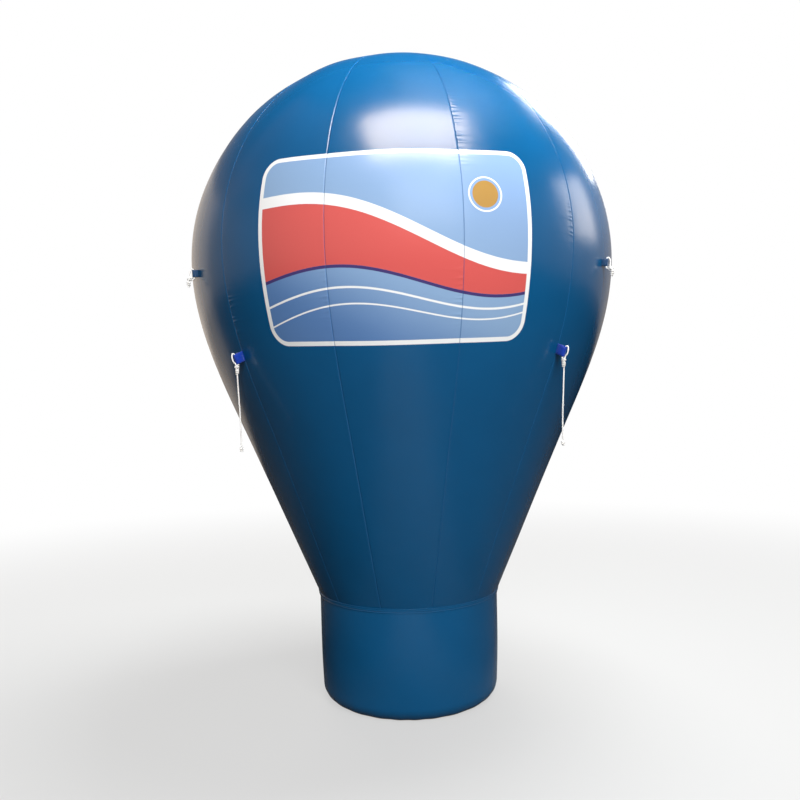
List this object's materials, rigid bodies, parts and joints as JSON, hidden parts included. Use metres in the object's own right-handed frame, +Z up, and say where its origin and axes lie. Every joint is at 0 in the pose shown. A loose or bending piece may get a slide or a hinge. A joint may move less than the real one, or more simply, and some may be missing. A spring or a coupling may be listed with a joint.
{
  "type": "bulb-shaped advertising balloon",
  "caption": "Standing air-filled balloon shaped like a light bulb, on a short round base with a built-in fan and rope lugs for mooring.",
  "frame": {"origin": "centre of the round base, on the floor", "axes": "+Z up along the balloon's axis; -Y is the printed front and +Y the back with the fan; +X is the right as seen from the front"},
  "size_m": [1.973, 2.0212, 3],
  "materials": {
    "envelope_fabric": "satin coated polyester, deep blue",
    "floor_fabric": "heavy coated cloth, near black",
    "seam_tape": "sewn tape, deep blue",
    "webbing": "woven strap, royal blue",
    "rope": "braided polyester, white",
    "black_plastic": "moulded, fine grain",
    "motor_metal": "die cast",
    "zip_cloth": "woven zip tape, black",
    "zip_metal": "nickel plated"
  },
  "bodies": {
    "balloon": {"base_floor_disc": "floor_fabric", "base_wall_front": "envelope_fabric", "base_wall_rear": "envelope_fabric", "cable_gland": "black_plastic", "crown_patch": "envelope_fabric", "fan_duct": "black_plastic", "fan_guard": "black_plastic", "fan_motor": "motor_metal", "gore_01": "envelope_fabric", "gore_02": "envelope_fabric", "gore_03": "envelope_fabric", "gore_04": "envelope_fabric", "gore_05": "envelope_fabric", "gore_06": "envelope_fabric", "gore_07": "envelope_fabric", "gore_08": "envelope_fabric", "gore_09": "envelope_fabric", "gore_10": "envelope_fabric", "gore_11": "envelope_fabric", "gore_12": "envelope_fabric", "guy_1_hitch": "rope", "guy_1_lug": "webbing", "guy_2_hitch": "rope", "guy_2_lug": "webbing", "guy_3_hitch": "rope", "guy_3_lug": "webbing", "inlet_collar": "envelope_fabric", "mooring_1_end_knot": "rope", "mooring_1_hitch": "rope", "mooring_1_lug": "webbing", "mooring_1_tail": "rope", "mooring_2_end_knot": "rope", "mooring_2_hitch": "rope", "mooring_2_lug": "webbing", "mooring_2_tail": "rope", "mooring_3_end_knot": "rope", "mooring_3_hitch": "rope", "mooring_3_lug": "webbing", "mooring_3_tail": "rope", "mooring_4_end_knot": "rope", "mooring_4_hitch": "rope", "mooring_4_lug": "webbing", "mooring_4_tail": "rope", "neck_seam_tape": "seam_tape", "zip_slider": "zip_metal", "zip_tape": "zip_cloth"},
    "impeller": {"fan_impeller": "black_plastic"}
  },
  "joints": [
    {"name": "fan_spin", "type": "hinge", "parent": "balloon", "child": "impeller", "pos_m": [0, 0.38, 0.235], "axis": [0, 1, 0], "continuous": true}
  ]
}
